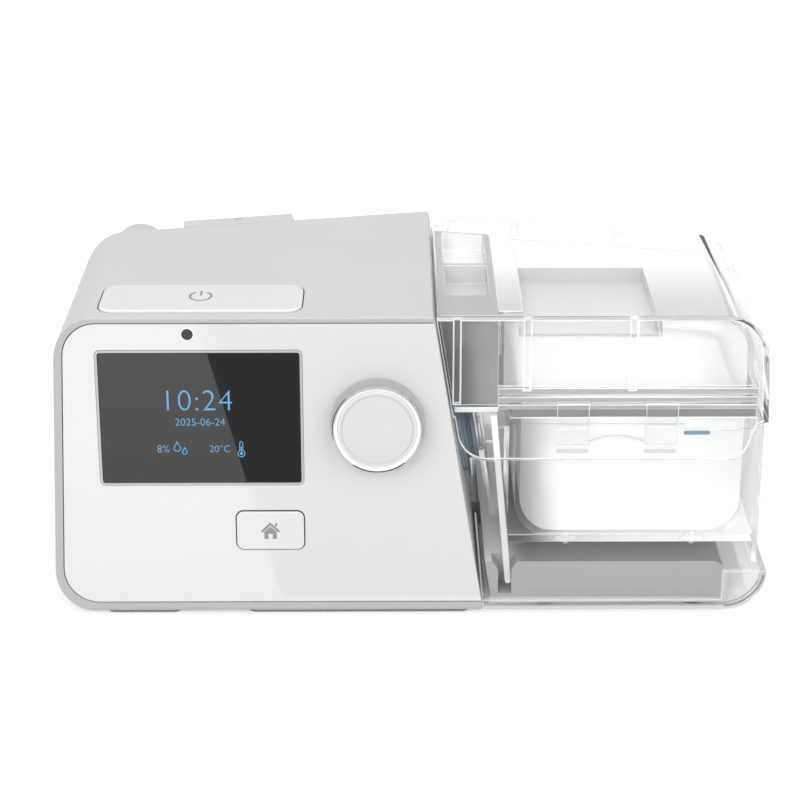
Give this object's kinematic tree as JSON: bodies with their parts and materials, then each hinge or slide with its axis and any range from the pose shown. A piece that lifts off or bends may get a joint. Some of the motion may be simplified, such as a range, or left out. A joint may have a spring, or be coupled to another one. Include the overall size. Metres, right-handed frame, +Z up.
{
  "type": "bilevel breathing machine",
  "caption": "Bedside breathing machine with a display, push-and-turn knob and buttons, docked to a heated humidifier with a lift-out water tank under a flip lid.",
  "frame": {"origin": "centre of the bounding box at the table, under the feet", "axes": "+X towards the humidifier, +Y towards the back where the hose outlet is, +Z up"},
  "size_m": [0.265, 0.1447, 0.114],
  "materials": {
    "casing_grey": "satin",
    "gloss_white": "gloss",
    "display_glass": "gloss",
    "dark_plastic": "satin",
    "inner_grey": "satin",
    "base_grey": "satin",
    "board_green": "satin",
    "chrome": "polished",
    "steel": "satin",
    "clear": "clear",
    "smoke": "translucent",
    "seal_grey": "matte",
    "blue_seal": "matte",
    "outlet_white": "satin",
    "filter_white": "fibrous",
    "foot_rubber": "matte"
  },
  "bodies": {
    "machine": {"main_casing": "casing_grey", "rear_casing": "casing_grey", "seam_wall": "casing_grey", "casing_floor": "casing_grey", "bottom_cover": "inner_grey", "front_panel": "gloss_white", "display_frame": "casing_grey", "display_window": "display_glass", "display_panel": "dark_plastic", "light_sensor": "dark_plastic", "main_board": "board_green", "encoder": "dark_plastic", "power_board": "board_green", "blower_housing": "inner_grey", "blower_lid": "inner_grey", "blower_motor": "steel", "blower_mount": "seal_grey", "intake_duct": "inner_grey", "delivery_duct": "inner_grey", "return_riser": "inner_grey", "return_channel": "inner_grey", "return_cover": "inner_grey", "outlet_collar": "casing_grey", "air_outlet": "outlet_white", "filter_pad": "filter_white", "dc_inlet": "dark_plastic", "card_reader": "steel", "port_seal": "blue_seal", "dock_socket": "dark_plastic", "dock_plug": "dark_plastic", "humidifier_base": "base_grey", "base_skirt": "clear", "heater_plate": "steel", "rear_panel": "clear", "hinge_pin": "steel", "rubber_feet": "foot_rubber", "cover_screws": "steel"},
    "encoder_plunger": {"encoder_plunger": "dark_plastic"},
    "knob": {"knob_shaft": "steel", "knob_body": "casing_grey", "knob_ring": "chrome", "knob_cap": "gloss_white"},
    "home_button": {"home_button": "gloss_white"},
    "power_button": {"power_button": "gloss_white"},
    "impeller": {"impeller": "gloss_white"},
    "lid": {"flip_lid": "clear"},
    "tank": {"tank_lower": "clear", "tank_plate": "steel", "tank_seal": "seal_grey", "tank_upper": "clear", "air_duct": "smoke", "tank_clips": "smoke"},
    "filter_cover": {"filter_cover": "casing_grey"},
    "card_cover": {"card_cover": "inner_grey"}
  },
  "joints": [
    {"name": "knob_push", "type": "slide", "parent": "machine", "child": "encoder_plunger", "axis": [0, 0.9839, -0.1788], "range_m": [0, 0.001], "stiffness_N_per_m": 500, "springref_m": -0.002},
    {"name": "knob_turn", "type": "hinge", "parent": "encoder_plunger", "child": "knob", "pos_m": [-0.0125, -0.06415, 0.0754], "axis": [0, -0.9839, 0.1788], "continuous": true},
    {"name": "home_press", "type": "slide", "parent": "machine", "child": "home_button", "axis": [0, 0.9839, -0.1788], "range_m": [0, 0.0006], "stiffness_N_per_m": 600, "springref_m": -0.001},
    {"name": "power_press", "type": "slide", "parent": "machine", "child": "power_button", "axis": [0, 0, -1], "range_m": [0, 0.0008], "stiffness_N_per_m": 600, "springref_m": -0.001},
    {"name": "impeller_spin", "type": "hinge", "parent": "machine", "child": "impeller", "pos_m": [-0.06, 0.005, 0.05], "axis": [0, 0, 1], "continuous": true},
    {"name": "lid_hinge", "type": "hinge", "parent": "machine", "child": "lid", "pos_m": [0.06615, 0.03643, 0.098], "axis": [-0.9823, 0.1874, 0], "range_deg": [0, 95]},
    {"name": "tank_lift", "type": "slide", "parent": "machine", "child": "tank", "axis": [0, 0, 1], "range_m": [0, 0.0191]},
    {"name": "filter_cover_hinge", "type": "hinge", "parent": "machine", "child": "filter_cover", "pos_m": [-0.06868, 0.0417, 0.0672], "axis": [-0.9839, -0.1788, 0], "range_deg": [0, 75]},
    {"name": "card_cover_hinge", "type": "hinge", "parent": "machine", "child": "card_cover", "pos_m": [-0.09615, 0.03346, 0.0208], "axis": [-0.9839, -0.1788, 0], "range_deg": [0, 95]}
  ],
  "couplings": [
    {"joint": "tank_lift", "follows": "lid_hinge", "m_per_rad": 0.011459}
  ]
}
